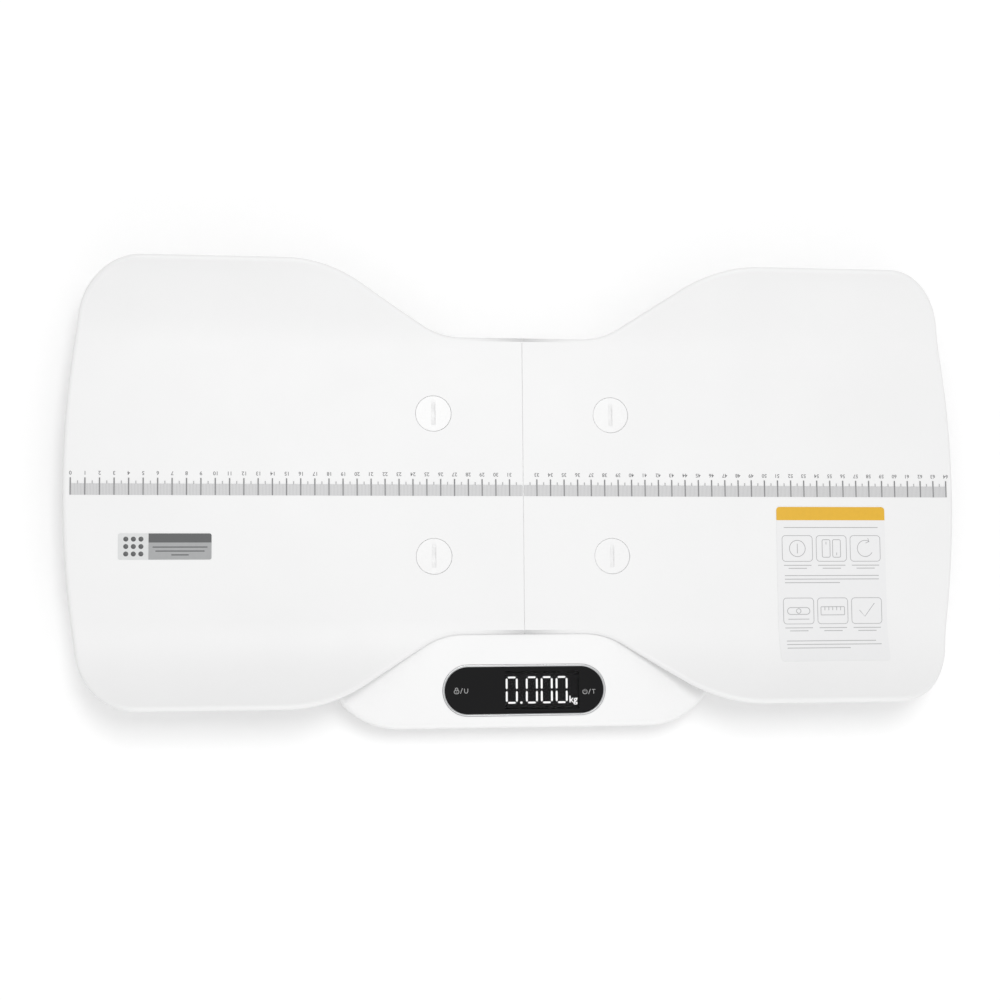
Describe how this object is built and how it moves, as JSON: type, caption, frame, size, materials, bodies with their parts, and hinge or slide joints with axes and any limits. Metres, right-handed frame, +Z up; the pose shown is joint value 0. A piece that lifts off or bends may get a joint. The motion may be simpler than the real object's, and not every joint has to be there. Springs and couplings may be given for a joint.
{
  "type": "digital baby weighing scale",
  "caption": "Low baby scale: a long waisted trough tray with turned-up wings and a ruler, screwed to a rounded platform with a front display window.",
  "frame": {"origin": "on the floor, under the middle of the bounding box", "axes": "+X along the tray to the right, +Y from the display to the back, +Z up"},
  "size_m": [0.651, 0.333, 0.0604],
  "materials": {
    "tray": "white satin moulded plastic",
    "cover": "white satin moulded plastic",
    "under_cover": "white moulded plastic with a fine grain",
    "knob": "white satin moulded plastic",
    "ruler_film": "grey printed film",
    "grey_label": "grey printed film",
    "guide_film": "pale printed film",
    "bezel": "satin silver plating",
    "window": "clear acrylic, backed with black ink",
    "digits": "lit white",
    "block": "black moulded plastic",
    "tape": "double-sided foam tape",
    "board": "green solder mask",
    "board_parts": "moulded plugs and chips",
    "ribbon": "flat cable",
    "wire": "insulated wire",
    "steel": "zinc plated",
    "spring": "nickel plated spring wire",
    "contact": "nickel plated strip",
    "brass": "turned brass",
    "cell": "stamped steel",
    "clip": "white moulded plastic",
    "battery": "plain printed jacket",
    "foot": "white moulded plastic",
    "pad": "soft black rubber"
  },
  "bodies": {
    "scale": {"tray_left": "tray", "tray_right": "tray", "ruler_strip_left": "ruler_film", "ruler_strip_right": "ruler_film", "care_label": "grey_label", "guide_label": "guide_film", "base_top_cover": "cover", "base_bottom_cover": "under_cover", "base_screws": "steel", "tray_inserts": "brass", "display_bezel": "bezel", "display_lens": "window", "lens_tape": "tape", "digit_block": "block", "digit_segments": "digits", "display_board": "board", "display_screws": "steel", "touch_spring_left": "spring", "touch_spring_right": "spring", "display_ribbon": "ribbon", "load_cell_clips": "clip", "load_cell_wires": "wire", "main_board": "board", "board_parts": "board_parts", "board_screws": "steel", "batteries": "battery", "battery_contacts": "contact", "battery_springs": "spring", "battery_wires": "wire", "load_cell_front_left": "cell", "load_cell_front_right": "cell", "load_cell_back_left": "cell", "load_cell_back_right": "cell"},
    "battery_door": {"battery_door": "under_cover"},
    "tray_screw_front_left": {"tray_screw_front_left": "knob"},
    "foot_front_left": {"foot_front_left": "foot", "foot_pad_front_left": "pad"},
    "tray_screw_front_right": {"tray_screw_front_right": "knob"},
    "foot_front_right": {"foot_front_right": "foot", "foot_pad_front_right": "pad"},
    "tray_screw_back_left": {"tray_screw_back_left": "knob"},
    "foot_back_left": {"foot_back_left": "foot", "foot_pad_back_left": "pad"},
    "tray_screw_back_right": {"tray_screw_back_right": "knob"},
    "foot_back_right": {"foot_back_right": "foot", "foot_pad_back_right": "pad"}
  },
  "joints": [
    {"name": "turn_tray_screw_front_left", "type": "hinge", "parent": "scale", "child": "tray_screw_front_left", "pos_m": [-0.065, -0.0435, 0.025], "axis": [0, 0, 1], "continuous": true},
    {"name": "turn_tray_screw_front_right", "type": "hinge", "parent": "scale", "child": "tray_screw_front_right", "pos_m": [0.065, -0.0435, 0.025], "axis": [0, 0, 1], "continuous": true},
    {"name": "turn_tray_screw_back_left", "type": "hinge", "parent": "scale", "child": "tray_screw_back_left", "pos_m": [-0.065, 0.0595, 0.025], "axis": [0, 0, 1], "continuous": true},
    {"name": "turn_tray_screw_back_right", "type": "hinge", "parent": "scale", "child": "tray_screw_back_right", "pos_m": [0.065, 0.0595, 0.025], "axis": [0, 0, 1], "continuous": true},
    {"name": "press_foot_front_left", "type": "slide", "parent": "scale", "child": "foot_front_left", "axis": [0, 0, 1], "range_m": [0, 0.0005], "stiffness_N_per_m": 50000},
    {"name": "press_foot_front_right", "type": "slide", "parent": "scale", "child": "foot_front_right", "axis": [0, 0, 1], "range_m": [0, 0.0005], "stiffness_N_per_m": 50000},
    {"name": "press_foot_back_left", "type": "slide", "parent": "scale", "child": "foot_back_left", "axis": [0, 0, 1], "range_m": [0, 0.0005], "stiffness_N_per_m": 50000},
    {"name": "press_foot_back_right", "type": "slide", "parent": "scale", "child": "foot_back_right", "axis": [0, 0, 1], "range_m": [0, 0.0005], "stiffness_N_per_m": 50000},
    {"name": "open_battery_door", "type": "hinge", "parent": "scale", "child": "battery_door", "pos_m": [0, 0.02085, 0.0082], "axis": [1, 0, 0], "range_deg": [0, 95]}
  ]
}
